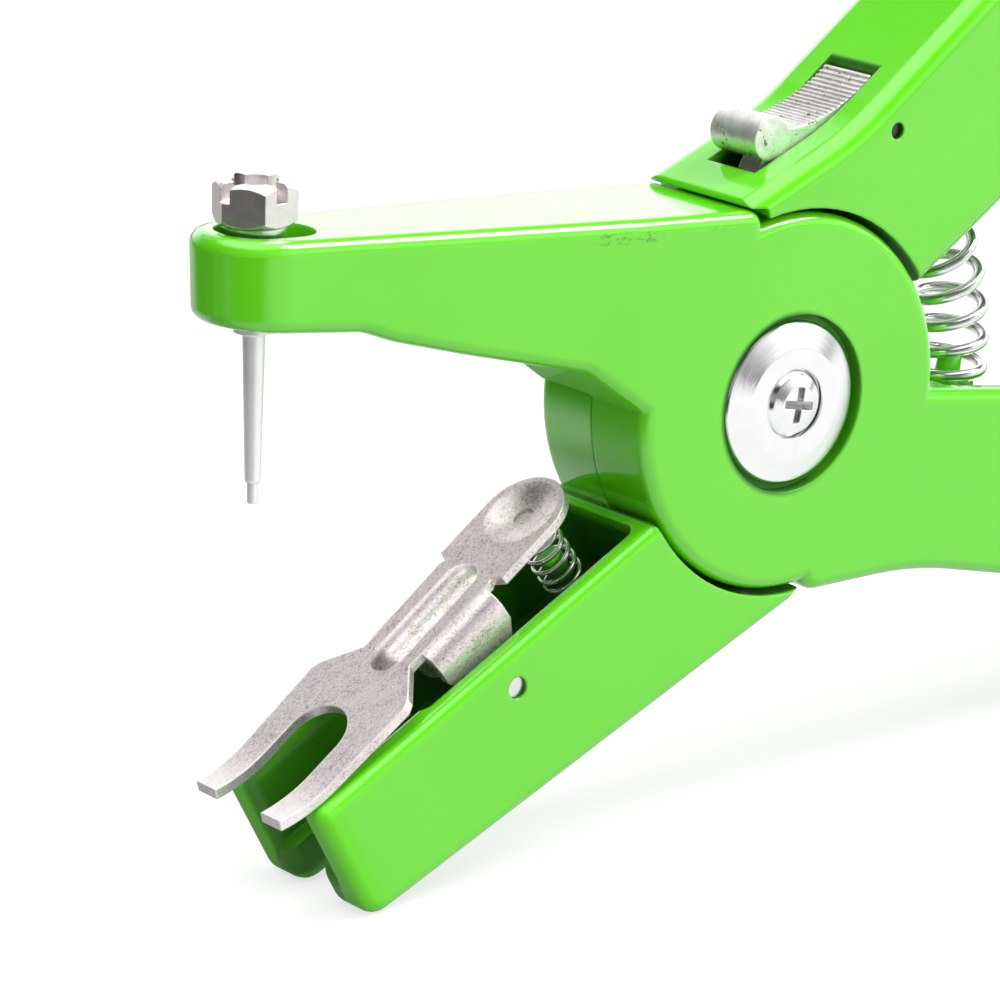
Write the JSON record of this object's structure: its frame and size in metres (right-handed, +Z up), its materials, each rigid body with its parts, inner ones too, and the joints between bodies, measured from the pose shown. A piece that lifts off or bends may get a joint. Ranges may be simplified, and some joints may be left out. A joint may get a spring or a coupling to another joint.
{
  "type": "ear tag applicator",
  "caption": "Plier-type livestock ear tag applicator: a needle in the upper jaw, a rocking sprung clip in the lower jaw, a return spring and a thumb latch.",
  "frame": {"origin": "centre of the tool's bounding box on the floor it rests on", "axes": "+X from the jaws to the handle ends, +Y across the tool away from its front face, +Z up"},
  "size_m": [0.2244, 0.0274, 0.1534],
  "materials": {
    "lime_paint": "glossy lime green paint over die cast aluminium",
    "bright_chrome": "polished chrome plating",
    "plain_steel": "bright zinc plated steel",
    "nickel_sheet": "mottled satin nickel plated sheet",
    "zinc_casting": "pitted satin zinc casting"
  },
  "bodies": {
    "needle_jaw": {"upper_jaw_casting": "lime_paint", "pivot_bushing": "plain_steel", "pivot_front_disc": "bright_chrome", "pivot_rear_disc": "bright_chrome", "pivot_screw": "bright_chrome", "pivot_spring_washer": "plain_steel", "pivot_nut": "plain_steel", "needle": "plain_steel", "needle_collar": "plain_steel", "needle_nut": "bright_chrome", "return_spring": "plain_steel"},
    "clip_jaw": {"lower_jaw_casting": "lime_paint", "clip_pin": "plain_steel", "clip_spring": "plain_steel", "latch_pin": "plain_steel", "latch_spring": "plain_steel"},
    "clip": {"tag_clip": "nickel_sheet"},
    "latch": {"latch_lever": "zinc_casting"}
  },
  "joints": [
    {"name": "jaw_pivot", "type": "hinge", "parent": "needle_jaw", "child": "clip_jaw", "pos_m": [-0.0262, -0.00152, 0.05517], "axis": [0, 1, 0], "range_deg": [0, 26], "stiffness_Nm_per_rad": 1.2, "springref_deg": -24.06, "deforming": ["return_spring"]},
    {"name": "clip_rock", "type": "hinge", "parent": "clip_jaw", "child": "clip", "pos_m": [-0.07215, -0.00152, 0.02562], "axis": [0, 1, 0], "range_deg": [0, 14], "stiffness_Nm_per_rad": 0.12, "springref_deg": -20.05, "deforming": ["clip_spring"]},
    {"name": "latch_rock", "type": "hinge", "parent": "clip_jaw", "child": "latch", "pos_m": [-0.00885, -0.00152, 0.08933], "axis": [0, 1, 0], "range_deg": [-10, 0], "stiffness_Nm_per_rad": 0.02, "springref_deg": 20.05, "deforming": ["latch_spring"]}
  ]
}
